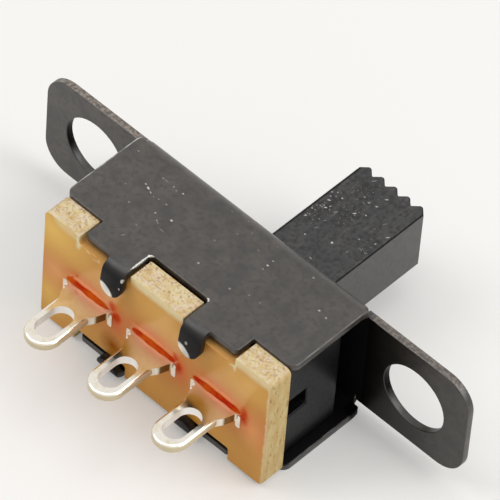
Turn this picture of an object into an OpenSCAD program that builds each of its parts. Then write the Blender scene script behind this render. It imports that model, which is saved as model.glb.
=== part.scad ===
// A small panel-mounting slide switch with three solder lugs, lying on its lower flange.
// X runs along the ears, Y points out of the panel along the handle, Z is up.
// The origin is midway between the two ear holes, on the outer face of the face plate.

/* [Face plate] */
// Distance between the two ear holes
hole_pitch = 15; // [14.8:0.1:15.2]
// Distance from the centre of a hole to the end of its ear
ear_end = 2.35; // [2:0.05:3]
// Diameter of each ear hole
hole_d = 2.7; // [2.2:0.1:3]
// Height of the ears
ear_w = 4.5; // [4:0.1:4.8]
// Radius of the ear corners
ear_corner_r = 1.1; // [0.4:0.1:1.6]
// Thickness of the steel sheet
sheet_t = 0.3; // [0.25:0.05:0.35]
// Room between the handle and each end of its slot
slot_room = 0.05; // [0.03:0.01:0.15]
// Room above and below the handle in its slot
slot_side_room = 0.1; // [0.05:0.01:0.15]

/* [Body] */
// Length of the folded body
body_len = 10.6; // [10.4:0.1:11.4]
// Height of the body over both flanges
body_h = 5.6; // [5.4:0.1:6.2]
// Distance from the mounting face to the terminal board
body_depth = 4.05; // [3.8:0.05:4.8]
// Outer radius of the two long bends
bend_r = 0.75; // [0.5:0.05:0.8]
// Width of the window between the two fingers of a flange
window_w = 2.7; // [2.2:0.1:3]
// Width of one finger
finger_w = 2.15; // [1.9:0.05:2.3]
// Width of the tab that is folded over the board
tab_w = 0.94; // [0.8:0.02:1.2]
// How far each upper tab reaches down from the outside of its flange
tab_reach = 1.28; // [1.1:0.02:1.5]
// How far each lower tab reaches up from the outside of its flange
low_tab_reach = 0.8; // [0.74:0.02:1.5]
// How far each tab springs back after it is folded, in degrees
tab_spring = 8; // [0:1:12]
// Room between a finger and each side of its notch in the board
notch_room = 0.12; // [0.06:0.01:0.15]
// Room between the inside of a lower finger and the floor of its notch
low_floor_room = 0.4; // [0.2:0.05:0.5]

/* [Terminal board] */
// Thickness of the board
board_t = 1; // [0.8:0.05:1.6]
// How far the board stops short of each end of the body
board_end_room = 0.05; // [0.03:0.01:0.15]
// How far the board stays inside each outer flange face
board_inset = 0.13; // [0.05:0.01:0.18]

/* [Terminals] */
// Distance between neighbouring terminals
lug_pitch = 3; // [2.8:0.05:3.1]
// Thickness of the terminal strip
lug_t = 0.36; // [0.3:0.02:0.5]
// How far the lugs stand out of the board
lug_len = 2.86; // [2.8:0.02:4]
// Width over the eyelet ring
ring_w = 1.38; // [1.3:0.02:1.5]
// Width of the metal on each side of the eyelet hole
ring_wall = 0.26; // [0.22:0.02:0.36]
// Length of the eyelet hole
eye_len = 1.56; // [1:0.02:1.6]
// Width of the lug where it leaves the board
root_w = 2; // [1.8:0.05:2.2]
// How far the knife blade stands into the body
blade_len = 1.1; // [0.9:0.05:1.3]

/* [Slider] */
// Width of the handle along its travel
handle_w = 3; // [2.6:0.1:3.2]
// Height of the handle across its travel
handle_h = 2.64; // [2.2:0.02:2.8]
// How far the handle stands out of the face plate
handle_out = 5.22; // [3:0.02:8]
// Number of finger ridges on the end of the handle
ridge_count = 5; // [3:1:6]
// Full travel of the slider
travel = 2.9; // [2.6:0.1:3]
// How far the block stops short of the end of the body when it is pushed there
block_recess = 0.35; // [0.2:0.05:0.5]
// Room between the block and the inside of the frame
slide_room = 0.1; // [0.05:0.01:0.15]

/* [Hidden] */
$fn = 48;
overall_len = hole_pitch + 2 * ear_end;
half_h = body_h / 2;
inner_h = half_h - sheet_t;
flat_h = body_h - 2 * bend_r;
inner_r = bend_r - sheet_t;
board_len = body_len - 2 * board_end_room;
board_back = -body_depth - board_t;
board_half_h = half_h - board_inset;
// fingers
finger_in = window_w / 2;
finger_out = finger_in + finger_w;
finger_x = (finger_in + finger_out) / 2;
relief_w = 0.3;
relief_len = 0.4;
relief_gap = 0.04;
ear_root = body_len / 2 - relief_w + relief_gap;
fold_r = 0.18;
notch_floor = inner_h - fold_r;
low_floor = inner_h - low_floor_room;
fold_y = board_back + fold_r;
shoulder_y = fold_y;
fold_z = inner_h - fold_r;
// terminals
blade_w = root_w - 0.5;
neck_w = root_w - 0.2;
slot_w = neck_w + 0.04;
slot_h = lug_t + 0.03;
stop_w = root_w + 0.1;
blade_end = -body_depth + blade_len;
eye_w = ring_w - 2 * ring_wall;
ring_y = board_back - lug_len + ring_w / 2;
eye_y = board_back - lug_len + ring_wall + 0.12 + eye_len / 2;
taper_y = board_back - 0.55;
roll_r = 0.11;
roll_end = taper_y + 0.25;
shoulder_w = (root_w + 2 * ring_w) / 3 + 0.05;
ear_h = 0.62;
ear_t = 0.2;
ear_out = 0.12;
// slider
handle_x = travel / 2;
ridge_w = handle_w / ridge_count;
ridge_r = 0.12;
ridge_base = handle_out - ridge_w / 2 + 0.41 * ridge_r;
block_len = body_len - travel - 2 * block_recess;
block_half_h = inner_h - slide_room;
block_back = -body_depth + slide_room;
wing_front = -sheet_t - 0.95;
pad_front = -sheet_t - slide_room / 2;
pad_len = handle_w + 2.2;
pad_half_h = block_half_h - inner_r - 0.05;
groove_h = lug_t + 0.46;
groove_end = blade_end + 0.15;
// moving contact
clip_t = 0.18;
clip_gap = lug_t + 0.04;
clip_room = 0.05;
clip_len = lug_pitch + blade_w + 2 * clip_room;
clip_front = blade_end + 0.85;
clip_back = -body_depth + 0.3;
lip = 0.16;
slit_w = 0.5;
slit_end = clip_back + 0.9;
pocket_h = clip_gap + 2 * (clip_t + lip + clip_room);
pocket_front = clip_front + clip_room;

black_steel = [0.16, 0.15, 0.15];
laminate = [0.8, 0.66, 0.4];
tin = [0.86, 0.86, 0.84];
black_plastic = [0.13, 0.13, 0.13];
bronze = [0.72, 0.5, 0.3];

// a rectangle with round corners, centred
module rounded(w, h, r) {
    square([w - 2 * r, h], center = true);
    square([w, h - 2 * r], center = true);
    for (sx = [-1, 1])
        for (sy = [-1, 1])
            translate([sx * (w / 2 - r), sy * (h / 2 - r)])
                circle(r);
}

// a piece of a ring, from +Y round towards +X, over an angle of 45 to 90 degrees
module bend_section(inner, outer, angle) {
    far = 2 * outer;
    intersection() {
        difference() {
            circle(outer);
            circle(inner);
        }
        polygon([[0, 0], [0, far], [far, far], [far * sin(angle), far * cos(angle)]]);
    }
}

// turns a drawing in X and Z into a plate whose front face is at y
module upright(y, t) {
    translate([0, y, 0])
        rotate([90, 0, 0])
            linear_extrude(t)
                children();
}

// turns a drawing in Y and Z into a bar from x = -w/2 to w/2
module along_x(w) {
    translate([-w / 2, 0, 0])
        rotate([90, 0, 90])
            linear_extrude(w)
                children();
}

// both ears, and the flat of the face plate that joins them
module ears_outline() {
    difference() {
        rounded(overall_len, ear_w, ear_corner_r);
        square([2 * ear_root, body_h], center = true);
    }
    square([hole_pitch, min(flat_h, ear_w)], center = true);
}

// the ear holes and the slot of the handle
module plate_openings() {
    for (sx = [-1, 1])
        translate([sx * hole_pitch / 2, 0])
            circle(d = hole_d);
    rounded(handle_w + travel + 2 * slot_room, handle_h + 2 * slot_side_room, 0.12);
}

// side view of the folded sheet: the face plate, two round bends and two flanges
module channel_side() {
    reach = 2 * body_depth;
    difference() {
        translate([-reach / 2, 0])
            rounded(reach, body_h, bend_r);
        translate([-sheet_t - reach / 2, 0])
            rounded(reach, 2 * inner_h, inner_r);
    }
}

// plan of a flange: round rear corners, two fingers, the window between them, whose
// round corners clear the square corners of the board, and a relief notch at each
// end of the bend, which the root of the ear reaches into
module flange_plan() {
    corner_r = 0.35;
    window_r = 0.17;
    difference() {
        union() {
            translate([-body_len / 2, -body_depth + corner_r])
                square([body_len, body_depth]);
            translate([0, -body_depth / 2])
                rounded(body_len, body_depth, corner_r);
            for (sx = [-1, 1])
                translate([sx * finger_x, shoulder_y / 2])
                    rounded(finger_w, -shoulder_y, 0.15);
            translate([-finger_x, -body_depth - window_r])
                square([2 * finger_x, body_depth]);
        }
        translate([0, -1.5 * body_depth + notch_room])
            rounded(window_w, body_depth, window_r);
        for (sx = [-1, 1])
            translate([sx * body_len / 2, 0])
                square([2 * relief_w, 2 * relief_len], center = true);
    }
}

// side view of a tab: flat, round the edge of the board, then along its face
module tab_side(reach) {
    translate([fold_y, inner_h])
        square([-body_depth - fold_y + 0.3, sheet_t]);
    translate([fold_y, fold_z])
        mirror([1, 0]) {
            bend_section(fold_r, fold_r + sheet_t, 90 - tab_spring);
            rotate(tab_spring)
                translate([fold_r, -reach])
                    square([sheet_t, reach]);
        }
}

// a tab has straight sides and a half-round tip
module tab(reach) {
    translate([finger_in + tab_w / 2, 0, 0])
        intersection() {
            along_x(tab_w)
                tab_side(reach);
            upright(0, 2 * -board_back) {
                translate([0, half_h - reach + tab_w / 2])
                    circle(d = tab_w);
                translate([-tab_w / 2, half_h - reach + tab_w / 2])
                    square([tab_w, reach]);
            }
        }
}

module frame() {
    color(black_steel)
        difference() {
            union() {
                intersection() {
                    along_x(body_len)
                        channel_side();
                    linear_extrude(2 * body_h, center = true)
                        flange_plan();
                }
                upright(0, sheet_t)
                    ears_outline();
                for (sx = [0, 1])
                    mirror([sx, 0, 0]) {
                        tab(tab_reach);
                        mirror([0, 0, 1])
                            tab(low_tab_reach);
                    }
            }
            upright(1, sheet_t + 2)
                plate_openings();
        }
}

module board_outline() {
    difference() {
        rounded(board_len, 2 * board_half_h, 0.25);
        for (sx = [-1, 1])
            for (z = [notch_floor + 1, -low_floor - 1])
                translate([sx * finger_x, z])
                    rounded(finger_w + 2 * notch_room, 2, 0.1);
        for (i = [-1:1])
            translate([i * lug_pitch, 0])
                square([slot_w, slot_h], center = true);
    }
}

module terminal_board() {
    color(laminate)
        upright(-body_depth, board_t)
            board_outline();
}

// the part of a lug that stands free, with its sheared edges rolled round
module lug() {
    translate([0, ring_y, 0])
        rotate_extrude()
            intersection() {
                rounded(ring_w, lug_t, roll_r);
                translate([0, -lug_t])
                    square([ring_w, 2 * lug_t]);
            }
    upright(roll_end, roll_end - ring_y)
        rounded(ring_w, lug_t, roll_r);
}

// plan of the rest of a terminal: tapered root, neck in the board, stop, knife blade
module terminal_outline() {
    polygon([[-root_w / 2, board_back], [-shoulder_w / 2, taper_y],
             [-ring_w / 2 + roll_r, taper_y - 0.4], [ring_w / 2 - roll_r, taper_y - 0.4],
             [shoulder_w / 2, taper_y], [root_w / 2, board_back]]);
    translate([-neck_w / 2, board_back - 0.01])
        square([neck_w, board_t + 0.02]);
    translate([-stop_w / 2, -body_depth])
        square([stop_w, 0.28]);
    translate([-blade_w / 2, -body_depth])
        square([blade_w, body_depth + blade_end - 0.2]);
    translate([0, blade_end - 0.3])
        rounded(blade_w, 0.6, 0.2);
}

// the two ears sheared down against the board to lock the terminal
module staked_ears() {
    for (sx = [-1, 1])
        translate([sx * (root_w / 2 + 0.05), 0, (lug_t - ear_h) / 2])
            upright(board_back, ear_out)
                rounded(ear_t, ear_h, 0.07);
}

module terminal(i) {
    color(tin)
        translate([i * lug_pitch, 0, 0])
            difference() {
                union() {
                    lug();
                    linear_extrude(lug_t, center = true)
                        terminal_outline();
                    staked_ears();
                }
                translate([0, eye_y, 0])
                    linear_extrude(2 * lug_t, center = true)
                        rounded(eye_w, eye_len, eye_w / 2 - 0.001);
            }
}

module terminal_left() {
    terminal(-1);
}

module terminal_middle() {
    terminal(0);
}

module terminal_right() {
    terminal(1);
}

// plan of the handle: straight sides and a row of rounded ridges on its end
module handle_outline() {
    translate([-handle_w / 2, -1])
        square([handle_w, ridge_base + 1]);
    for (i = [0:ridge_count - 1])
        translate([(i + 0.5) * ridge_w - handle_w / 2, ridge_base]) {
            polygon([[-ridge_w / 2, 0], [ridge_w / 2, 0],
                     [ridge_r * sqrt(0.5), ridge_w / 2 - ridge_r * sqrt(0.5)],
                     [-ridge_r * sqrt(0.5), ridge_w / 2 - ridge_r * sqrt(0.5)]]);
            translate([0, ridge_w / 2 - ridge_r * sqrt(2)])
                circle(ridge_r);
        }
}

module block_solid() {
    upright(wing_front, wing_front - block_back)
        rounded(block_len, 2 * block_half_h, 0.2);
    upright(pad_front, pad_front - wing_front + 0.5)
        rounded(pad_len, 2 * pad_half_h, 0.2);
}

module slider() {
    color(black_plastic)
        translate([handle_x, 0, 0])
            difference() {
                union() {
                    translate([0, 0, -handle_h / 2])
                        linear_extrude(handle_h)
                            handle_outline();
                    block_solid();
                }
                // groove for the knife blades, open at both ends
                translate([-block_len, block_back - 1, -groove_h / 2])
                    cube([2 * block_len, groove_end - block_back + 1, groove_h]);
                // pocket that carries the moving contact
                translate([-clip_len / 2 - clip_room, block_back - 1, -pocket_h / 2])
                    cube([clip_len + 2 * clip_room, pocket_front - block_back + 1, pocket_h]);
            }
}

// side view of the clip: a round fold in front, two leaves, lips spread at the back
module clip_side() {
    half = clip_gap / 2 + clip_t;
    translate([clip_front - half, 0])
        intersection() {
            difference() {
                circle(half);
                circle(clip_gap / 2);
            }
            translate([0, -1])
                square([1, 2]);
        }
    for (s = [0, 1])
        mirror([0, s]) {
            translate([clip_back + lip, clip_gap / 2])
                square([clip_front - half - clip_back - lip, clip_t]);
            polygon([[clip_back + lip, clip_gap / 2], [clip_back + lip, half],
                     [clip_back, half + lip], [clip_back, half + lip - clip_t]]);
        }
}

module moving_contact() {
    color(bronze)
        translate([handle_x, 0, 0])
            difference() {
                along_x(clip_len)
                    clip_side();
                // slit between the two pairs of leaves
                translate([-slit_w / 2, clip_back - 1, -pocket_h])
                    cube([slit_w, slit_end - clip_back + 1, 2 * pocket_h]);
            }
}

frame();
terminal_board();
terminal_left();
terminal_middle();
terminal_right();
slider();
moving_contact();
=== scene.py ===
import math
import bpy
import numpy as np
from mathutils import Matrix, Vector


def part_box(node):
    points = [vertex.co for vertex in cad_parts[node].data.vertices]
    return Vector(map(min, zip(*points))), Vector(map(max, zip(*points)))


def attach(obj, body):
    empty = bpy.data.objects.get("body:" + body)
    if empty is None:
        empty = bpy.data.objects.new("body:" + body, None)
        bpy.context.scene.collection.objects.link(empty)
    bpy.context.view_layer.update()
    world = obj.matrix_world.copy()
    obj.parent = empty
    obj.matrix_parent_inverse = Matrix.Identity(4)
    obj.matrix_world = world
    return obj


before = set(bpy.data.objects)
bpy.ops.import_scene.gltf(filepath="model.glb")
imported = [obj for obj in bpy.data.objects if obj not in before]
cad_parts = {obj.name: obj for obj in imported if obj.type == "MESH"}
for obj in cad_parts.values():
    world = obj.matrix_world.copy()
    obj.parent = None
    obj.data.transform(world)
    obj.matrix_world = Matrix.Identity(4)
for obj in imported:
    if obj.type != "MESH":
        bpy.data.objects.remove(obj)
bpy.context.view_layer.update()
mm = 0.001  # lengths below are in millimetres and are multiplied by this

print("stage: frame loaded,", len(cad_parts), "nodes")


# A hex colour as a screen shows it, turned into the linear colour that shaders take.
def linear(hexColour):
    channels = [int(hexColour[i:i + 2], 16) / 255 for i in (1, 3, 5)]
    return [c / 12.92 if c <= 0.04045 else ((c + 0.055) / 1.055) ** 2.4 for c in channels] + [1.0]


# Adds one node: feeds are its inputs, each a number, a colour, a node or a socket.
def addNode(tree, kind, feeds=None, **settings):
    node = tree.nodes.new("ShaderNode" + kind)
    for key, value in settings.items():
        setattr(node, key, value)
    for key, value in (feeds or {}).items():
        if isinstance(value, bpy.types.Node):
            value = value.outputs[0]
        if isinstance(value, bpy.types.NodeSocket):
            tree.links.new(value, node.inputs[key])
        else:
            node.inputs[key].default_value = value
    return node


# An empty material, its tree, the place of each point in millimetres, and the way it faces.
def startMaterial(name):
    material = bpy.data.materials.new(name)
    material.use_nodes = True
    tree = material.node_tree
    tree.nodes.clear()
    place = addNode(tree, "TexCoord")
    inMm = addNode(tree, "Mapping", {"Vector": place.outputs["Object"], "Scale": (1000, 1000, 1000)})
    return material, tree, inMm, place.outputs["Normal"]


def finishMaterial(tree, feeds):
    shader = addNode(tree, "BsdfPrincipled", feeds)
    addNode(tree, "OutputMaterial", {"Surface": shader})


# The place of each point, pushed about a little so that marks on it get ragged rims.
def makeRagged(tree, inMm, size, push):
    wave = addNode(tree, "TexNoise", {"Vector": inMm, "Scale": 1 / size, "Detail": 3.0})
    wave = addNode(tree, "VectorMath", {0: wave.outputs["Color"], 1: (0.5, 0.5, 0.5)}, operation="SUBTRACT")
    return addNode(tree, "VectorMath", {0: wave, 1: (2 * push, 2 * push, 2 * push), 2: inMm},
                   operation="MULTIPLY_ADD")


# The mask of an area, where each of its limits holds. A limit is a value, where the area begins on
# it and where it is full, and then, if they aren't 0 and 1, the least and the most of the mask.
def addArea(tree, *limits):
    area = None
    for limit in limits:
        value, start, full, least, most = limit + (0.0, 1.0)[len(limit) - 3:]
        ramp = addNode(tree, "MapRange", {"Value": value, "From Min": start, "From Max": full,
                                          "To Min": least, "To Max": most})
        area = addNode(tree, "Math", {0: area, 1: ramp}, operation="MULTIPLY") if area else ramp
    return area


# Marks at known places. Each is an ellipse given by its place, its half sizes, its turn in
# degrees and its strength; the mask is the strength in the middle and 0 outside the rim.
def addMarks(tree, inMm, marks, soft):
    mask = 0.0
    for place, size, turn, strength in marks:
        local = addNode(tree, "Mapping", {"Vector": inMm, "Location": place, "Scale": size,
                                          "Rotation": [math.radians(a) for a in turn]},
                        vector_type="TEXTURE")
        far = addNode(tree, "VectorMath", {0: local}, operation="LENGTH")
        one = addArea(tree, (far.outputs["Value"], 1.0, 1 - soft, 0.0, strength))
        mask = addNode(tree, "Math", {0: mask, 1: one}, operation="MAXIMUM")
    return mask


# A mask of clouds of a size in millimetres: least where the noise is below start, most above full.
def addClouds(tree, inMm, size, detail, start=0.35, full=0.65, least=0.0, most=1.0):
    noise = addNode(tree, "TexNoise", {"Vector": inMm, "Scale": 1 / size, "Detail": detail})
    return addArea(tree, (noise, start, full, least, most))


# A mask of small specks, one in the middle of some cells of a cell pattern. Reach is how far from
# there a speck begins and is full, and share is where a cell's random number begins to give one.
def addSpecks(tree, inMm, cellSize, reach, share, most=1.0):
    cell = addNode(tree, "TexVoronoi", {"Vector": inMm, "Scale": 1 / cellSize})
    number = addNode(tree, "SeparateColor", {"Color": cell.outputs["Color"]})
    return addArea(tree, (cell.outputs["Distance"], *reach), (number, *share, 0.0, most))


cameraView = {
    "aim": (-0.75, 0.405, 0.0),  # the point that lies in the middle of the picture
    "distance": 209.42,
    "azimuth": 40.133,           # degrees round the object, from looking along +Y
    "elevation": 49.83,          # degrees above the table
    "roll": 4.919,               # the picture is turned a little
    "lens": 443.85,              # focal length on the sensor's width
    "sensor": 36,
    "clip": (10, 5000),
}


def makeCamera(look):
    turn, lift = math.radians(look["azimuth"]), math.radians(look["elevation"])
    back = Vector((math.sin(turn) * math.cos(lift), -math.cos(turn) * math.cos(lift), math.sin(lift)))
    right = Vector((math.cos(turn), math.sin(turn), 0))
    right = Matrix.Rotation(math.radians(look["roll"]), 3, back) @ right
    data = bpy.data.cameras.new("camera")
    data.lens = look["lens"]
    data.sensor_width = look["sensor"]
    data.clip_start, data.clip_end = [reach * mm for reach in look["clip"]]
    camera = bpy.data.objects.new("camera", data)
    bpy.context.scene.collection.objects.link(camera)
    rows = Matrix((right, back.cross(right), back))
    place = (Vector(look["aim"]) + back * look["distance"]) * mm
    camera.matrix_world = Matrix.Translation(place) @ rows.transposed().to_4x4()
    bpy.context.scene.camera = camera


makeCamera(cameraView)


studio = {
    "table": "#d9d7d4", "tableRoughness": 0.9,
    "tableGlow": 0.2,                       # what the camera sees added, so that shadows stay light
    "tableGlowColour": (1.0, 1.0, 0.99, 1.0),
    "tableSize": 1600.0,
    "tableGap": 0.002,                      # keeps the table clear of the frame
    "sky": "#f4f4f4", "skyStrength": 0.5,
    "keyPlace": (-90, -60, 130), "keySize": 110, "keyPower": 0.076,
    "topPlace": (0, 10, 170), "topSize": 160, "topPower": 0.066,
    "fillPlace": (110, 40, 100), "fillSize": 120, "fillPower": 0.106,
}


# The share of rays that come from the eye, a mirror or a clear body: these see the full white.
def addSeen(tree):
    path = addNode(tree, "LightPath")
    seen = addNode(tree, "Math", {0: path.outputs["Is Camera Ray"], 1: path.outputs["Is Glossy Ray"]},
                   operation="MAXIMUM")
    return addNode(tree, "Math", {0: seen, 1: path.outputs["Is Transmission Ray"]}, operation="MAXIMUM")


def makeTable(look):
    half = look["tableSize"] / 2 * mm
    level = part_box("frame")[0].z - look["tableGap"] * mm
    corners = [(x * half, y * half, level) for x, y in ((-1, -1), (1, -1), (1, 1), (-1, 1))]
    mesh = bpy.data.meshes.new("table")
    mesh.from_pydata(corners, [], [(0, 1, 2, 3)])
    table = bpy.data.objects.new("table", mesh)
    bpy.context.scene.collection.objects.link(table)
    material, tree = startMaterial("white paper sheet")[:2]
    glow = addNode(tree, "Math", {0: addSeen(tree), 1: look["tableGlow"]}, operation="MULTIPLY")
    finishMaterial(tree, {"Base Color": linear(look["table"]), "Roughness": look["tableRoughness"],
                          "Emission Color": look["tableGlowColour"], "Emission Strength": glow})
    mesh.materials.append(material)


def makeSky(look):
    world = bpy.data.worlds.new("studio")
    world.use_nodes = True
    tree = world.node_tree
    tree.nodes.clear()
    strength = addNode(tree, "MapRange", {"Value": addSeen(tree), "To Min": look["skyStrength"]})
    glow = addNode(tree, "Background", {"Color": linear(look["sky"]), "Strength": strength})
    addNode(tree, "OutputWorld", {"Surface": glow})
    bpy.context.scene.world = world


def makeLamp(name, place, size, power):
    data = bpy.data.lights.new(name, "AREA")
    data.shape = "DISK"
    data.size = size * mm
    data.energy = power
    lamp = bpy.data.objects.new(name, data)
    bpy.context.scene.collection.objects.link(lamp)
    lamp.location = Vector(place) * mm
    lamp.rotation_euler = (-Vector(place)).to_track_quat("-Z", "Y").to_euler()


makeTable(studio)
makeSky(studio)
for name in ("key", "top", "fill"):
    makeLamp(name + " softbox", studio[name + "Place"], studio[name + "Size"], studio[name + "Power"])
bpy.context.scene.view_settings.view_transform = "Standard"
print("stage: table, light and camera")


# Marks on a level face are written as x, y, half length, half width, turn and strength. This
# sets them at a height, for addMarks.
def layLevel(marks, height, depth=0.06):
    return [((x, y, height), (a, b, depth), (0, 0, turn), strength) for x, y, a, b, turn, strength in marks]


# Rubs and specks on the flat upper flange.
flangeMarks = [
    (-3.65, -1.86, 0.05, 0.04, 0, 0.9), (-3.47, -1.93, 0.09, 0.045, -20, 1.0),
    (-3.28, -2.01, 0.07, 0.03, -25, 0.6), (-3.08, -2.07, 0.06, 0.025, -25, 0.25),
    (-3.43, -1.25, 0.05, 0.03, 0, 0.45), (-3.28, -1.25, 0.12, 0.018, 0, 0.3),
    (-2.92, -1.26, 0.04, 0.035, 0, 0.5), (-2.74, -1.33, 0.04, 0.03, 0, 0.4),
    (-2.49, -1.26, 0.045, 0.04, 0, 0.75), (-2.54, -2.01, 0.05, 0.035, 0, 0.45),
    (-2.89, -2.03, 0.05, 0.04, 0, 0.25), (-2.54, -2.54, 0.05, 0.045, 0, 0.55),
    (-3.49, -2.84, 0.05, 0.04, 0, 0.45), (-4.14, -2.35, 0.05, 0.03, 0, 0.25),
    (-4.85, -0.99, 0.05, 0.035, 0, 0.35), (-2.27, -2.74, 0.05, 0.03, -30, 0.5),
    (-2.17, -2.8, 0.04, 0.025, -30, 0.4), (-1.93, -2.39, 0.06, 0.055, 0, 1.0),
    (-1.85, -2.93, 0.16, 0.02, 0, 0.3), (-2.61, -3.37, 0.08, 0.02, 0, 0.25),
    (-2.61, -4.01, 0.09, 0.02, 60, 0.35), (-0.02, -3.06, 0.06, 0.045, 0, 0.65),
    (1.47, -3.1, 0.06, 0.05, 0, 0.4), (2.11, -2.83, 0.05, 0.035, 0, 0.3),
    (2.59, -2.8, 0.05, 0.04, 0, 0.25), (1.65, -1.46, 0.06, 0.045, 0, 0.9),
    (1.64, -1.19, 0.045, 0.035, 0, 0.6), (1.65, -1.69, 0.05, 0.035, 0, 0.45),
    (-0.15, -0.51, 0.05, 0.035, 0, 0.5), (-0.82, -0.61, 0.04, 0.03, 0, 0.3),
    (3.07, -0.73, 0.06, 0.045, 0, 0.45), (4.17, -1.62, 0.06, 0.045, 0, 0.85),
    (4.55, -1.69, 0.055, 0.045, 0, 0.65),
]

# Places where the black finish is gone and the steel shines, at the tab tips, and painted highlights on the
# edges of the window and of the tabs.
bareAndHighlightMarks = [
    ((-1.98, -5.44, 1.68), (0.44, 0.3, 0.21), (0, 30, 0), 1.0),     # tip of the left tab
    ((1.64, -5.44, 1.68), (0.44, 0.3, 0.21), (0, 30, 0), 1.0),      # tip of the right tab
    ((-1.31, -4.0, 2.8), (0.13, 0.06, 0.1), (0, 0, 30), 1.0),       # painted highlight at the corner of the window
    ((-1.375, -4.45, 2.78), (0.5, 0.04, 0.12), (0, 0, 90), 0.8),    # painted highlight along the left finger
    ((1.3, -3.98, 2.78), (0.1, 0.08, 0.12), (0, 0, -40), 1.0),      # painted highlight at the other corner
    ((-1.36, -5.3, 2.5), (0.07, 0.12, 0.09), (0, 0, 0), 0.9),       # painted highlights on the tabs' edges
    ((-1.42, -5.3, 2.12), (0.06, 0.12, 0.07), (0, 0, 0), 0.7),
    ((1.72, -5.35, 2.08), (0.07, 0.1, 0.09), (0, 0, 0), 0.6),
]

# The shaded corner between the lower flange and the root of the right ear.
cornerMarks = [((5.25, -0.35, -2.6), (0.5, 0.6, 0.6), (0, 0, 0), 1.0)]

steel = {
    "colour": "#2d2823", "roughness": 0.36, "shine": 0.8,
    "patch": "#443d36", "grit": "#221e1b", "speck": "#8c8882", "mark": "#c9c7c2",
    # the first colour on the next line is bare steel at the tab tips and a painted highlight on the window
    # and tab edges
    "bareAndHighlight": "#d9d9d5", "bareMetal": 0.8, "edge": "#857a6f", "edgeDark": "#4c443d",
    # the two near-black colours on the next line are painted shade: the first for the body's interior and
    # the tab fronts, the second for the right end and round the right ear
    "inside": "#151416", "insideShine": 0.12, "paintedShade": "#0d0b0a", "shadeShine": 0.05,
    # clouds: size, detail, where they begin and are full, least, most; specks: what addSpecks
    # takes; ragged: the size and the push of the waves that marks are pushed about by
    "patchClouds": (0.6, 5.0), "gritClouds": (0.2, 4.0, 0.48, 0.66, 0.0, 0.8),
    "grainClouds": (0.125, 3.0, 0.42, 0.6), "streakClouds": (0.4545, 3.0, 0.4, 0.62, 0.25),
    "specks": (0.33, (0.16, 0.06), (0.9, 1.0), 0.7),
    "ragged": (0.06, 0.02), "markSoft": 0.6, "bareSoft": 0.25, "cornerSoft": 0.3,
    "flangeTop": 2.8,  # the height of the marks on the upper flange
    # limits of areas across X, along Y and up Z, and by how far the surface turns
    "onEar": (5.36, 5.38), "earRim": (1.95, 2.1), "edgeOn": (0.5, 0.2),
    "betweenFlanges": (2.56, 2.53), "betweenEnds": (5.3, 5.27),
    "behindPlate": (-0.27, -0.3), "beforeBoard": (-5.02, -4.98), "tabFront": (-4.86, -5.34),
    # the first three limits on the next line place the painted edge highlight on the flange ends
    "highlightEdge": (5.235, 5.265), "highlightEnd": (5.34, 5.32), "highlightLeft": (4.0, -4.0, 0.2), "levelFace": (0.2, 0.5),
    # the limits from here to the hole's lowest part place the painted shade at the right end and round the
    # right ear
    "shadeRight": (-5.0, 9.0, 0.0, 0.35), "shadeRoot": (8.8, 5.3, 0.35),
    "backOfEar": (-0.6, -0.9), "rightEar": (5.26, 5.29),
    "holeHeight": (1.6, 1.5), "holeSide": (9.2, 9.1), "holeLowest": (-1.1, -0.6, 0.2),
}
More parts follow.
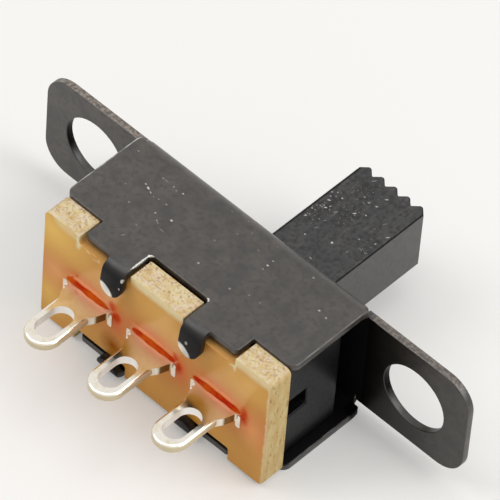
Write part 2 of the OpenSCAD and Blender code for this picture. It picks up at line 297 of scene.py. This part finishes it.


# Satin blackened sheet steel: dark and warm, faintly mottled, with rubs and bare spots, painted highlights
# on its edges, and painted shade in the body and round the right ear.
def makeSteel(look):
    material, tree, inMm, normal = startMaterial("blackened sheet steel")
    ragged = makeRagged(tree, inMm, *look["ragged"])
    place = addNode(tree, "SeparateXYZ", {"Vector": inMm}).outputs
    facing = addNode(tree, "SeparateXYZ", {"Vector": normal}).outputs
    side, height, flat, level = [addNode(tree, "Math", {0: value}, operation="ABSOLUTE")
                                 for value in (place["X"], place["Z"], facing["Y"], facing["Z"])]
    patch = addClouds(tree, inMm, *look["patchClouds"])
    grit = addClouds(tree, inMm, *look["gritClouds"])
    # tiny pale specks, in one of ten cells
    speck = addSpecks(tree, inMm, *look["specks"])
    # the sheared rims of the ears are browner and grainy, and painted paler as edges that catch the light
    rim = addArea(tree, (flat, *look["edgeOn"]), (side, *look["onEar"]), (height, *look["earRim"]))
    grain = addClouds(tree, inMm, *look["grainClouds"])
    torn = addNode(tree, "MixRGB", {"Fac": grain, "Color1": linear(look["edgeDark"]),
                                    "Color2": linear(look["edge"])})
    # painted shade: inside the body, and on the front of each tab, the colour is made dull and nearly black
    shadedInside = addArea(tree, (height, *look["betweenFlanges"]), (side, *look["betweenEnds"]),
                     (place["Y"], *look["behindPlate"]), (place["Y"], *look["beforeBoard"]))
    shadedTabFront = addArea(tree, (place["Y"], *look["tabFront"]))
    shadedInside = addNode(tree, "Math", {0: shadedInside, 1: shadedTabFront}, operation="MAXIMUM")
    # painted highlight along the outer edge of each flange end, broken up here and there, mostly at the left
    edgeHighlight = addArea(tree, (side, *look["highlightEdge"]), (side, *look["highlightEnd"]), (level, *look["levelFace"]),
                   (place["X"], *look["highlightLeft"]))
    streaks = addClouds(tree, inMm, *look["streakClouds"])
    edgeHighlight = addNode(tree, "Math", {0: edgeHighlight, 1: streaks}, operation="MULTIPLY")
    mark = addMarks(tree, ragged, layLevel(flangeMarks, look["flangeTop"]), look["markSoft"])
    # the rubs and specks on the flange share one colour with the painted edge highlight
    mark = addNode(tree, "Math", {0: mark, 1: edgeHighlight}, operation="MAXIMUM")
    bareAndHighlight = addMarks(tree, ragged, bareAndHighlightMarks, look["bareSoft"])
    # painted shade: darker towards the right end, most of all behind the right ear
    paintedShade = addArea(tree, (place["X"], *look["shadeRight"]))
    root = addArea(tree, (place["X"], *look["shadeRoot"]), (place["X"], *look["rightEar"]),
                   (facing["Y"], *look["backOfEar"]))
    # painted shade: the walls of the ear holes are made black, apart from their lowest part
    wall = addArea(tree, (flat, *look["edgeOn"]), (side, *look["onEar"]), (side, *look["holeSide"]),
                   (height, *look["holeHeight"]), (place["Z"], *look["holeLowest"]))
    for mask in (wall, addMarks(tree, inMm, cornerMarks, look["cornerSoft"])):
        root = addNode(tree, "Math", {0: root, 1: mask}, operation="MAXIMUM")
    paintedShade = addNode(tree, "Math", {0: paintedShade, 1: root}, operation="MAXIMUM")
    colour = linear(look["colour"])
    for mask, coat in ((patch, "patch"), (grit, "grit"), (speck, "speck"), (rim, torn), (shadedInside, "inside"),
                       (mark, "mark"), (bareAndHighlight, "bareAndHighlight"), (paintedShade, "paintedShade")):
        coat = linear(look[coat]) if isinstance(coat, str) else coat
        colour = addNode(tree, "MixRGB", {"Fac": mask, "Color1": colour, "Color2": coat})
    metal = addNode(tree, "Math", {0: bareAndHighlight, 1: look["bareMetal"]}, operation="MULTIPLY")
    shine = addArea(tree, (shadedInside, 0.0, 1.0, look["shine"], look["insideShine"]),
                    (root, 0.0, 1.0, 1.0, look["shadeShine"]))
    finishMaterial(tree, {"Base Color": colour, "Metallic": metal, "Roughness": look["roughness"],
                          "Specular IOR Level": shine})
    return material


# Grains and small scratches on the upper face of the handle.
handleMarks = [
    (0.19, 2.03, 0.05, 0.04, 40, 0.8), (0.12, 2.43, 0.05, 0.04, 0, 0.6), (0.25, 2.45, 0.04, 0.03, 0, 0.4),
    (0.14, 2.65, 0.05, 0.03, 0, 0.3), (0.43, 2.78, 0.07, 0.035, 30, 0.95), (0.28, 3.1, 0.08, 0.03, 20, 0.9),
    (0.5, 2.93, 0.06, 0.025, 60, 0.7), (0.2, 3.28, 0.05, 0.04, 0, 0.35), (0.1, 3.45, 0.05, 0.04, 0, 0.4),
    (0.25, 3.57, 0.04, 0.04, 0, 0.5), (0.54, 3.49, 0.045, 0.04, 0, 0.7), (0.8, 2.88, 0.1, 0.025, 50, 0.4),
    (0.63, 2.26, 0.04, 0.03, 0, 0.35), (0.81, 2.35, 0.07, 0.03, 50, 0.3), (0.83, 1.92, 0.12, 0.02, 60, 0.25),
    (0.76, 1.41, 0.045, 0.04, 0, 0.65), (1.65, 1.8, 0.055, 0.05, 0, 1.0), (1.62, 0.79, 0.07, 0.03, 0, 0.5),
    (1.29, 3.3, 0.09, 0.035, 55, 0.85), (1.62, 3.52, 0.04, 0.035, 0, 0.7), (1.3, 4.0, 0.06, 0.05, 60, 0.45),
    (1.04, 4.08, 0.05, 0.05, 0, 0.3), (1.2, 3.86, 0.09, 0.02, 0, 0.3), (1.6, 4.07, 0.08, 0.035, 30, 0.65),
    (1.62, 4.54, 0.09, 0.04, 45, 0.6), (0.76, 4.85, 0.14, 0.025, 60, 0.4), (2.33, 3.7, 0.12, 0.02, 60, 0.3),
    (2.23, 3.3, 0.08, 0.02, 10, 0.25), (2.18, 2.58, 0.05, 0.03, 0, 0.6), (2.71, 2.83, 0.04, 0.05, 0, 0.5),
    (2.8, 3.34, 0.1, 0.03, 60, 0.65), (2.51, 2.29, 0.12, 0.015, -20, 0.35),
    (2.76, 2.29, 0.07, 0.02, 40, 0.35), (2.27, 1.87, 0.04, 0.06, 0, 0.2),
]

# Where fine dust lies on the handle.
dustMarks = [
    (0.35, 2.75, 0.45, 1.2, 0, 1.0), (0.9, 4.3, 0.7, 0.7, 0, 0.6),
    (1.2, 3.0, 0.7, 1.0, 0, 0.5), (2.6, 2.6, 0.35, 1.0, 0, 0.35),
]

plastic = {
    "colour": "#201f1f", "roughness": 0.3, "shine": 0.68, "dullShine": 0.15,
    "patch": "#302e2d", "mottle": "#141211", "mark": "#c4c3c2", "scratch": "#55524f",
    # on the next line the third colour is painted light on the handle's right side, and the fourth painted
    # shade on the block in the body
    "dust": "#b4b0ae", "rim": "#0a0908", "side": "#2e2a27", "inside": "#0e0e10",
    # clouds, specks and ragged as for the steel
    "patchClouds": (0.9, 5.0), "mottleClouds": (0.16, 4.0, 0.42, 0.66, 0.0, 0.8),
    "streakClouds": (1.0, 4.0, 0.56, 0.7, 0.0, 0.4),
    "rubTurn": -25, "rubScale": (9, 1.1, 3),  # fine rubs: degrees off the handle, and rubs per millimetre
    "specks": (0.085, (0.34, 0.18), (0.35, 0.9)), "ragged": (0.07, 0.03), "markSoft": 0.6, "dustSoft": 0.8,
    # how the shine changes from clean to mottled, and from clean to dusty
    "mottleShine": (0.0, 0.8, 1.02, 0.74), "dustShine": (0.0, 1.0, 1.0, 0.6),
    "handleTop": 1.32,  # the height of the marks on the handle
    # limits of areas across X and along Y, and by how far the surface turns
    "upperFace": (0.7, 0.9), "sideFace": (0.8, 0.95), "leftRim": (0.09, 0.02),
    "notLevel": (0.98, 0.85), "notUpright": (0.1, 0.3), "insideBody": (-0.25, -0.4),
}


# Black moulded plastic: nearly neutral, half glossy, with dust and small rubs on the handle.
def makePlastic(look):
    material, tree, inMm, normal = startMaterial("black moulded plastic")
    ragged = makeRagged(tree, inMm, *look["ragged"])
    place = addNode(tree, "SeparateXYZ", {"Vector": inMm}).outputs
    facing = addNode(tree, "SeparateXYZ", {"Vector": normal}).outputs
    patch = addClouds(tree, inMm, *look["patchClouds"])
    mottle = addClouds(tree, inMm, *look["mottleClouds"])
    # fine rubs that run out along the handle, only on its upper face
    along = addNode(tree, "Mapping", {"Vector": inMm, "Rotation": (0, 0, math.radians(look["rubTurn"])),
                                      "Scale": look["rubScale"]})
    streaks = addClouds(tree, along, *look["streakClouds"])
    upper = addArea(tree, (facing["Z"], *look["upperFace"]))
    streaks = addNode(tree, "Math", {0: streaks, 1: upper}, operation="MULTIPLY")
    mark = addMarks(tree, ragged, layLevel(handleMarks, look["handleTop"]), look["markSoft"])
    # fine dust, thickest beside the left edge
    dusty = addMarks(tree, ragged, layLevel(dustMarks, look["handleTop"], 0.1), look["dustSoft"])
    dust = addSpecks(tree, inMm, *look["specks"])
    dust = addNode(tree, "Math", {0: dust, 1: dusty}, operation="MULTIPLY")
    # painted light: the right side of the handle is made a little paler; the rims of its upper face and its
    # rounded edges are darker
    litSide = addArea(tree, (facing["X"], *look["sideFace"]))
    leftRim = addArea(tree, (place["X"], *look["leftRim"]))
    turned = addArea(tree, (facing["Z"], *look["notLevel"]), (facing["Z"], *look["notUpright"]))
    # painted shade: the block in the body is made duller and darker than the handle
    shadedInside = addArea(tree, (place["Y"], *look["insideBody"]))
    colour = linear(look["colour"])
    for mask, coat in ((patch, "patch"), (mottle, "mottle"), (streaks, "scratch"), (mark, "mark"),
                       (dust, "dust"), (litSide, "side"), (leftRim, "rim"), (turned, "rim"),
                       (shadedInside, "inside")):
        colour = addNode(tree, "MixRGB", {"Fac": mask, "Color1": colour, "Color2": linear(look[coat])})
    dull = addNode(tree, "Math", {0: shadedInside, 1: turned}, operation="MAXIMUM")
    dull = addNode(tree, "Math", {0: dull, 1: leftRim}, operation="MAXIMUM")
    # it shines less in the dark patches of its grain and where the dust lies thickest
    shine = addArea(tree, (dull, 0.0, 1.0, look["shine"], look["dullShine"]), (mottle, *look["mottleShine"]),
                    (dusty, *look["dustShine"]))
    finishMaterial(tree, {"Base Color": colour, "Roughness": look["roughness"], "Specular IOR Level": shine})
    return material


# Marks on the board's upright face are written as x, z, half width, half height, turn and
# strength. This sets them on the face, for addMarks.
def layUpright(marks, face, depth):
    return [((x, face, z), (a, depth, b), (0, turn, 0), strength) for x, z, a, b, turn, strength in marks]


lugPlaces = (-3.0, 0.0, 3.0)

# What has coloured the face, in the order in which it is laid on: its colour in the dictionary
# below, how soft its rim is, and its marks.
faceMarks = [
    # paler areas at the left end and between the tabs
    ("facePale", 0.95, [
        (-4.9, 2.0, 2.1, 1.7, 0, 1.0), (-4.9, -1.3, 1.2, 1.3, 0, 0.7),
        (0.0, 2.0, 1.5, 1.2, 0, 0.3), (4.3, 1.9, 1.3, 1.0, 0, 0.4)]),
    # red lacquer that has run into the face above each lug, and beside its right end
    ("halo", 0.95, [(x - 0.05, 0.25, 1.4, 0.75, 0, 0.85) for x in lugPlaces]
     + [(x + 1.25, 0.0, 0.5, 0.9, 0, 0.8) for x in lugPlaces]),
    # an orange flush away from the lugs
    ("flush", 0.95, [(-4.65, 0.05, 1.1, 1.0, 0, 0.85), (4.6, -0.3, 0.9, 1.2, 0, 0.6)]),
    # a painted highlight: a pale line along the upper edge of each bead, above each lug
    ("glow", 0.6, [(x - 0.1, 0.44, 1.15, 0.14, 0, 0.85) for x in lugPlaces]),
    # drops and runs of thick lacquer
    ("stain", 0.65, [
        (-3.1, 0.28, 1.1, 0.12, 0, 0.7), (-1.74, 0.06, 0.28, 0.36, 0, 1.0),
        (0.0, 0.26, 1.15, 0.12, 0, 0.7), (1.18, 0.06, 0.24, 0.36, 0, 1.0),
        (2.9, 0.24, 1.25, 0.12, 0, 0.7), (4.2, 0.16, 0.25, 0.55, 0, 1.0),
        (-1.96, 0.45, 0.24, 0.36, 0, 0.9), (1.02, 0.42, 0.2, 0.34, 0, 0.9),
        (-3.86, 0.36, 0.2, 0.07, -35, 0.8), (-3.62, 0.62, 0.16, 0.06, -50, 0.7)]),
    # painted shade: brown patches, which are also made matt
    ("brownShade", 0.9, [(-1.85, -1.5, 0.7, 0.7, 0, 1.0), (2.45, 2.25, 0.5, 0.35, 0, 0.5)]),
]

# Pale chipped corners of the face, beside the notches.
chipMarks = [
    (-3.64, 2.42, 0.15, 0.5, 0, 0.95), (-3.19, 2.25, 0.14, 0.09, 20, 0.6),
    (-2.98, 2.36, 0.2, 0.08, 15, 0.5), (-2.71, 2.18, 0.09, 0.09, 0, 0.45),
    (-2.58, 2.42, 0.12, 0.09, 30, 0.45), (-2.86, 2.1, 0.16, 0.06, 10, 0.3),
    (3.62, 2.4, 0.12, 0.42, 0, 0.85), (3.48, 2.22, 0.16, 0.06, 0, 0.6),
    (-1.25, 2.55, 0.06, 0.3, 0, 0.4), (1.3, 2.5, 0.06, 0.3, 0, 0.4),
]

# Where pale fibres show through along the upper rim of the face.
tornMarks = [
    (-4.1, 2.66, 0.8, 0.5, 0, 0.6), (4.5, 2.66, 1.3, 0.6, 0, 0.85), (0.2, 2.66, 1.7, 0.75, 0, 1.0),
]

board = {
    "face": "#d89a40", "faceWarm": "#d27a2e", "facePale": "#fac960",
    # on the next line glow is a painted highlight above the beads, and the last colour painted shade
    "halo": "#e25c1c", "flush": "#f6ad66", "glow": "#fb9850", "stain": "#d04408", "brownShade": "#a25a00",
    "rim": "#f4e0ac", "chip": "#f2e2b4",
    "roughness": 0.35, "gloss": 0.25, "stainGloss": 0.02, "edgeRoughness": 0.75,
    "edge": "#d6c592", "edgeWarm": "#c8a86e", "fleck": "#86632f", "fibre": "#dccbb8", "speck": "#9c7a66",
    # the second colour on the next line is painted light for the notch floors
    "endShade": "#bd9a64", "notch": "#d69b4e",
    # clouds and ragged as for the steel
    "faceClouds": (1.4286, 3.0, 0.35, 0.65, 0.55), "layerClouds": (1.0, 4.0),
    "layerScale": (1.2, 1 / 0.3, 1.2),       # layers 0.3 mm thick, which run along the board
    "fleckClouds": (0.3226, 3.0, 0.57, 0.7), "speckClouds": (0.1, 3.0, 0.52, 0.66, 0.0, 0.7),
    "fibreSize": 0.142857, "fibreTwist": 0.6, "fibreRange": (0.4, 0.66, 0.0, 0.75),
    "ragged": (0.25, 0.08), "chipSoft": 0.5, "rimSoft": 0.3,
    # the face's place along Y, and how deep its marks reach behind it
    "facePlace": -5.05, "markDepth": 0.4, "rimDepth": 0.2,
    # the warm band: its middle, and how far from there it begins and is full
    "bandMiddle": -0.1, "band": (1.7, 0.2),
    # limits of areas across X, along Y and up Z, and by how far the surface turns
    "upperRim": (2.2, 2.56), "endRim": (5.12, 5.2, 0.0, 0.6), "upperFace": (0.5, 0.8),
    "back": (-4.95, -4.65, 0.25), "endFlecks": (0.5, 0.9, 0.45, 0.85), "endFace": (0.5, 0.9, 0.0, 0.25),
    "notchFloor": (2.5, 2.4, 0.0, 0.9), "openFace": (0.1, 0.3), "cutFace": (0.95, 0.6),
}


# Punched paper laminate: a glossy amber face and rough cream edges that show its layers.
def makeLaminate(look):
    material, tree, inMm, normal = startMaterial("punched paper laminate")
    ragged = makeRagged(tree, inMm, *look["ragged"])
    place = addNode(tree, "SeparateXYZ", {"Vector": ragged}).outputs
    exact = addNode(tree, "SeparateXYZ", {"Vector": inMm}).outputs
    facing = addNode(tree, "SeparateXYZ", {"Vector": normal}).outputs
    # the face glows warmer in a band along the row of lugs
    off = addNode(tree, "Math", {0: place["Z"], 1: look["bandMiddle"]}, operation="SUBTRACT")
    off = addNode(tree, "Math", {0: off}, operation="ABSOLUTE")
    start, full = look["band"]
    band = addNode(tree, "MapRange", {"Value": off, "From Min": start, "From Max": full},
                   interpolation_type="SMOOTHSTEP")
    cloud = addClouds(tree, inMm, *look["faceClouds"])
    masks = {"faceWarm": addNode(tree, "Math", {0: band, 1: cloud}, operation="MULTIPLY")}
    for coat, soft, marks in faceMarks:
        marks = layUpright(marks, look["facePlace"], look["markDepth"])
        masks[coat] = addMarks(tree, ragged, marks, soft)
    # pale fibres along the upper rim, which fade out downwards
    start, full = look["upperRim"]
    fade = addNode(tree, "MapRange", {"Value": place["Z"], "From Min": start, "From Max": full},
                   interpolation_type="SMOOTHSTEP")
    rim = addMarks(tree, ragged, layUpright(tornMarks, look["facePlace"], look["rimDepth"]), look["rimSoft"])
    masks["rim"] = addNode(tree, "Math", {0: rim, 1: fade}, operation="MULTIPLY")
    # pale chips at the corners and along the right end
    chip = addMarks(tree, ragged, layUpright(chipMarks, look["facePlace"], look["rimDepth"]),
                    look["chipSoft"])
    endRim = addArea(tree, (place["X"], *look["endRim"]))
    masks["chip"] = addNode(tree, "Math", {0: chip, 1: endRim}, operation="MAXIMUM")
    colour = linear(look["face"])
    for coat, mask in masks.items():
        colour = addNode(tree, "MixRGB", {"Fac": mask, "Color1": colour, "Color2": linear(look[coat])})
    # the cut edges: cream, with layers along the board and brown flecks, most of them at the end
    stretched = addNode(tree, "Mapping", {"Vector": inMm, "Scale": look["layerScale"]})
    layer = addClouds(tree, stretched, *look["layerClouds"])
    fleck = addClouds(tree, stretched, *look["fleckClouds"])
    fleck = addArea(tree, (fleck, 0.0, 1.0), (facing["X"], *look["endFlecks"]))
    # torn pale fibres on top, with brownish specks towards the back
    fibre = addNode(tree, "TexNoise", {"Vector": ragged, "Scale": 1 / look["fibreSize"], "Detail": 4.0,
                                       "Distortion": look["fibreTwist"]})
    fibre = addArea(tree, (fibre, *look["fibreRange"]), (facing["Z"], *look["upperFace"]))
    speck = addClouds(tree, inMm, *look["speckClouds"])
    speck = addArea(tree, (speck, 0.0, 1.0), (facing["Z"], *look["upperFace"]), (place["Y"], *look["back"]))
    # a duller end, and painted light on the notch floors: their amber is made bright to lift the flange's
    # shade
    end = addArea(tree, (facing["X"], *look["endFace"]))
    litNotchFloor = addArea(tree, (exact["Z"], *look["notchFloor"]), (facing["Z"], *look["openFace"]))
    edge = linear(look["edge"])
    for mask, coat in ((layer, "edgeWarm"), (fleck, "fleck"), (fibre, "fibre"), (speck, "speck"),
                       (end, "endShade"), (litNotchFloor, "notch")):
        edge = addNode(tree, "MixRGB", {"Fac": mask, "Color1": edge, "Color2": linear(look[coat])})
    flat = addNode(tree, "Math", {0: facing["Y"]}, operation="ABSOLUTE")
    cut = addArea(tree, (flat, *look["cutFace"]))
    colour = addNode(tree, "MixRGB", {"Fac": cut, "Color1": colour, "Color2": edge})
    rough = addArea(tree, (cut, 0.0, 1.0, look["roughness"], look["edgeRoughness"]))
    matt = addNode(tree, "Math", {0: masks["brownShade"], 1: masks["stain"]}, operation="MAXIMUM")
    gloss = addArea(tree, (matt, 0.0, 1.0, look["gloss"], look["stainGloss"]))
    finishMaterial(tree, {"Base Color": colour, "Roughness": rough, "Specular IOR Level": gloss})
    return material


tin = {
    "colour": "#f2ece0", "warm": "#e6d9bc", "roughness": 0.13,
    "wave": 0.35, "waveDepth": 0.004, "waveStrength": 0.6, "thin": (0.5, 0.7, 0.0, 0.7),
    "cut": "#fbf9f4", "outer": "#d3c5a4", "brass": "#80561c", "cutRoughness": 0.35, "cutMetal": 0.45,
    # limits of areas along Y, and by how far the surface turns from level
    "upright": (0.75, 0.35), "ring": (-5.7, -6.0, 0.15), "taper": (-5.66, -5.56),
    "beforeTaper": (-5.2, -5.25),
    # the ring of each lug: the lugs' pitch, where the straight part ends, and how far the wall is
    "pitch": 3.0, "ringMiddle": -7.16, "ringWall": (0.5, 0.6),
    # two painted glints, small white dots on the left edge of each taper, placed from the middle of the lug
    "glints": (((-0.91, -5.3, 0.16), (0.08, 0.08, 0.1), (0, 0, 0), 1.0),
              ((-0.86, -5.47, 0.16), (0.07, 0.06, 0.1), (0, 0, 0), 1.0)), "glintSoft": 0.3,
}


# Hot-tinned brass: a bright, slightly uneven mirror with a warm tinge where the tin is thin.
def makeTin(look):
    material, tree, inMm, normal = startMaterial("tinned brass")
    place = addNode(tree, "SeparateXYZ", {"Vector": inMm}).outputs
    facing = addNode(tree, "SeparateXYZ", {"Vector": normal}).outputs
    height, level = [addNode(tree, "Math", {0: value}, operation="ABSOLUTE")
                     for value in (place["Z"], facing["Z"])]
    wave = addNode(tree, "TexNoise", {"Vector": inMm, "Scale": 1 / look["wave"], "Detail": 2.0})
    thin = addArea(tree, (wave, *look["thin"]))
    bump = addNode(tree, "Bump", {"Height": wave, "Strength": look["waveStrength"],
                                  "Distance": look["waveDepth"] * mm})
    # the cut sides are coated thickly and shine less
    cut = addArea(tree, (level, *look["upright"]), (place["Y"], *look["ring"]))
    # outside the ring the cut is darker: far is how far a point lies from the middle line of the
    # lug, or beyond the straight part from its end
    across = addNode(tree, "Math", {0: place["X"], 1: look["pitch"] / 2, 2: -look["pitch"] / 2},
                     operation="WRAP")
    along = addNode(tree, "Math", {0: place["Y"], 1: look["ringMiddle"]}, operation="SUBTRACT")
    along = addNode(tree, "Math", {0: along, 1: 0.0}, operation="MINIMUM")
    far = addNode(tree, "CombineXYZ", {"X": across, "Y": along})
    far = addNode(tree, "VectorMath", {0: far}, operation="LENGTH")
    outside = addArea(tree, (far.outputs["Value"], *look["ringWall"]))
    wall = addNode(tree, "MixRGB", {"Fac": outside, "Color1": linear(look["cut"]),
                                    "Color2": linear(look["outer"])})
    # between the ring and the board the cut shows the brass
    taper = addArea(tree, (place["Y"], *look["taper"]), (place["Y"], *look["beforeTaper"]),
                    (level, *look["upright"]))
    local = addNode(tree, "CombineXYZ", {"X": across, "Y": place["Y"], "Z": height})
    glints = addMarks(tree, local, look["glints"], look["glintSoft"])
    colour = linear(look["colour"])
    for mask, coat in ((thin, "warm"), (cut, wall), (taper, "brass"), (glints, "cut")):
        coat = linear(look[coat]) if isinstance(coat, str) else coat
        colour = addNode(tree, "MixRGB", {"Fac": mask, "Color1": colour, "Color2": coat})
    metal = addArea(tree, (cut, 0.0, 1.0, 1.0, look["cutMetal"]), (glints, 1.0, 0.0))
    rough = addArea(tree, (cut, 0.0, 1.0, look["roughness"], look["cutRoughness"]))
    finishMaterial(tree, {"Base Color": colour, "Metallic": metal, "Roughness": rough, "Normal": bump})
    return material


bronze = {"colour": "#b8875a", "dull": "#8f6038", "cloudSize": 0.8, "roughness": 0.3}


# Rolled spring bronze: brownish metal, duller in clouds where it has been handled.
def makeBronze(look):
    material, tree, inMm = startMaterial("rolled spring bronze")[:3]
    cloud = addNode(tree, "TexNoise", {"Vector": inMm, "Scale": 1 / look["cloudSize"], "Detail": 4.0})
    colour = addNode(tree, "MixRGB", {"Fac": cloud, "Color1": linear(look["colour"]),
                                      "Color2": linear(look["dull"])})
    finishMaterial(tree, {"Base Color": colour, "Metallic": 1.0, "Roughness": look["roughness"]})
    return material


lacquer = {"colour": "#bc2403", "thin": "#d45a06", "clouds": (0.35, 3.0), "roughness": 0.5, "gloss": 0.06}


# Brushed red sealing lacquer: soft-looking, deep red where thick and orange where thin.
def makeLacquer(look):
    material, tree, inMm = startMaterial("red sealing lacquer")[:3]
    cloud = addClouds(tree, inMm, *look["clouds"])
    colour = addNode(tree, "MixRGB", {"Fac": cloud, "Color1": linear(look["colour"]),
                                      "Color2": linear(look["thin"])})
    finishMaterial(tree, {"Base Color": colour, "Roughness": look["roughness"],
                          "Specular IOR Level": look["gloss"]})
    return material


tinned = makeTin(tin)
finishes = {
    "frame": makeSteel(steel),
    "terminal_board": makeLaminate(board),
    "terminal_left": tinned,
    "terminal_middle": tinned,
    "terminal_right": tinned,
    "slider": makePlastic(plastic),
    "moving_contact": makeBronze(bronze),
}
for name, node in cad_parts.items():
    node.material_slots[0].material = finishes[name]
print("stage: materials")


edges = {
    "radius": {"frame": 0.035, "terminal_board": 0.03, "slider": 0.07, "moving_contact": 0.03},
    "segments": 3,
    "sharp": 60,       # degrees from which an edge is rounded
    "flat": 1,         # degrees within which faces are made one
    "merge": 0.0002,   # how near two corners are to be one
    "weight": 100,     # from 50 up, large faces count more in the shading
}

# Real sheared and moulded edges are never razor sharp; the meshes are welded first.
for name, radius in edges["radius"].items():
    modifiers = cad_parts[name].modifiers
    weld = modifiers.new("weld", "WELD")
    weld.merge_threshold = edges["merge"] * mm
    planes = modifiers.new("whole flat faces", "DECIMATE")
    planes.decimate_type = "DISSOLVE"
    planes.angle_limit = math.radians(edges["flat"])
    bevel = modifiers.new("round edges", "BEVEL")
    bevel.width = radius * mm
    bevel.segments = edges["segments"]
    bevel.limit_method = "ANGLE"
    bevel.angle_limit = math.radians(edges["sharp"])
    bevel.use_clamp_overlap = False
    shading = modifiers.new("even shading", "WEIGHTED_NORMAL")
    shading.weight = edges["weight"]
print("stage: rounded edges")


bead = {
    "ends": ((-1.08, 0.86), (-1.0, 1.0), (-1.15, 1.05)),  # of each bead, from the middle of its lug
    "rise": 0.15, "reach": 0.11,             # up the board and out along the lug
    "hollow": 0.35,                          # how full the long side is: 0.5 would be convex
    "lugTop": 0.18,                          # the height of the lug's upper face
    "buried": 0.1,                           # how deep its corner lies in the board and the lug
    "blunt": (1.02, 6),                      # how blunt its ends are
    "waves": ((5.1, 0.12), (11.7, 0.08)),    # its uneven thickness: waves and their share
    "phase": (0.4, 1.3),                     # of the waves: the first bead's, and a bead's step
    "rings": 61, "around": 10,
}


# A closed skin over a grid of points: rows of rings, each ring closed, with both ends capped.
def makeSkin(name, points, material):
    rows, around = points.shape[:2]
    row, column = np.meshgrid(np.arange(rows - 1), np.arange(around), indexing="ij")
    nextColumn = (column + 1) % around
    quads = np.stack([row * around + column, row * around + nextColumn,
                      (row + 1) * around + nextColumn, (row + 1) * around + column], axis=-1).reshape(-1, 4)
    caps = [list(range(around))[::-1], list(range((rows - 1) * around, rows * around))]
    mesh = bpy.data.meshes.new(name)
    mesh.from_pydata(points.reshape(-1, 3).tolist(), [], quads.tolist() + caps)
    mesh.polygons.foreach_set("use_smooth", [True] * len(mesh.polygons))
    mesh.materials.append(material)
    piece = bpy.data.objects.new(name, mesh)
    bpy.context.scene.collection.objects.link(piece)
    return piece


# A fillet of lacquer in the corner between a lug and the board. Its section is a triangle with
# a curved long side, full along most of the lug and small at both ends.
def makeBead(name, node, look, number, material):
    low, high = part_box(node)
    middle = (low.x + high.x) / 2 / mm
    left, right = look["ends"][number]
    phase = look["phase"][0] + look["phase"][1] * number
    along = np.linspace(-1, 1, look["rings"])
    x = middle + (left + right) / 2 + along * (right - left) / 2
    (slow, large), (quick, small) = look["waves"]
    size = np.sqrt(look["blunt"][0] - along ** look["blunt"][1])
    size = size * (1 + large * np.sin(slow * along + phase) + small * np.sin(quick * along + 2 * phase))
    t = np.linspace(0, 1, look["around"] - 2)
    bend = 2 * t * (1 - t) * look["hollow"]
    out = np.concatenate([[-look["buried"], -look["buried"]], look["reach"] * (t ** 2 + bend)])
    up = np.concatenate([[-look["buried"], look["rise"]], look["rise"] * ((1 - t) ** 2 + bend)])
    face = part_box("terminal_board")[0].y / mm
    points = np.stack([np.broadcast_to(x[:, None], (len(x), len(out))),
                       face - size[:, None] * out[None, :],
                       look["lugTop"] + size[:, None] * up[None, :]], axis=-1)
    piece = makeSkin(name, points * mm, material)
    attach(piece, "housing")


redLacquer = makeLacquer(lacquer)
for number, node in enumerate(("terminal_left", "terminal_middle", "terminal_right")):
    makeBead("lacquer_" + node, node, bead, number, redLacquer)
print("stage: lacquer")
